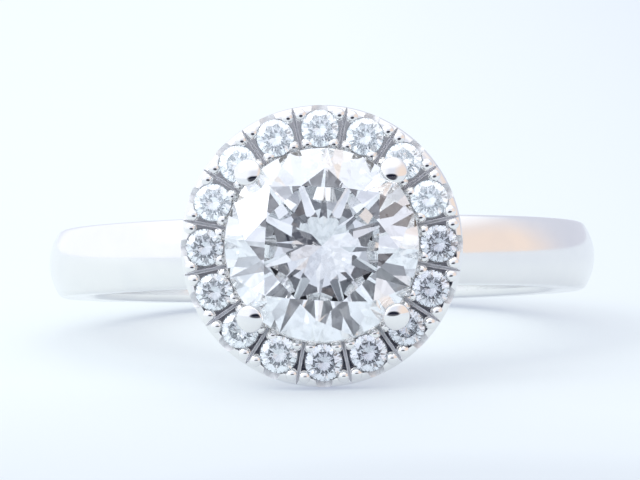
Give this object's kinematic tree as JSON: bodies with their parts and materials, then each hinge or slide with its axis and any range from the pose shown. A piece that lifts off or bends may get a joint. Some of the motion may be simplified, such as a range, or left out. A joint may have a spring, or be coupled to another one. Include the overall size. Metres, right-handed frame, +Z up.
{
  "type": "halo ring",
  "caption": "Polished finger ring: a round brilliant held by ball-tipped claws inside a halo of small bead-set brilliants, on a plain domed band.",
  "frame": {"origin": "centre of the ring's bounding box, on the surface that the ring lies on", "axes": "+X to the right as seen from the front of the stones, -Y out of the front of the ring towards the viewer, +Z up from the surface that the ring lies on"},
  "size_m": [0.0197, 0.0242, 0.0095],
  "materials": {
    "white_gold": "polished",
    "centre_stone": "polished facets",
    "halo_stone": "polished facets"
  },
  "bodies": {
    "root": {"mounting": "white_gold", "centre_stone": "centre_stone", "halo_stone_01": "halo_stone", "halo_stone_02": "halo_stone", "halo_stone_03": "halo_stone", "halo_stone_04": "halo_stone", "halo_stone_05": "halo_stone", "halo_stone_06": "halo_stone", "halo_stone_07": "halo_stone", "halo_stone_08": "halo_stone", "halo_stone_09": "halo_stone", "halo_stone_10": "halo_stone", "halo_stone_11": "halo_stone", "halo_stone_12": "halo_stone", "halo_stone_13": "halo_stone", "halo_stone_14": "halo_stone", "halo_stone_15": "halo_stone", "halo_stone_16": "halo_stone"}
  },
  "joints": []
}
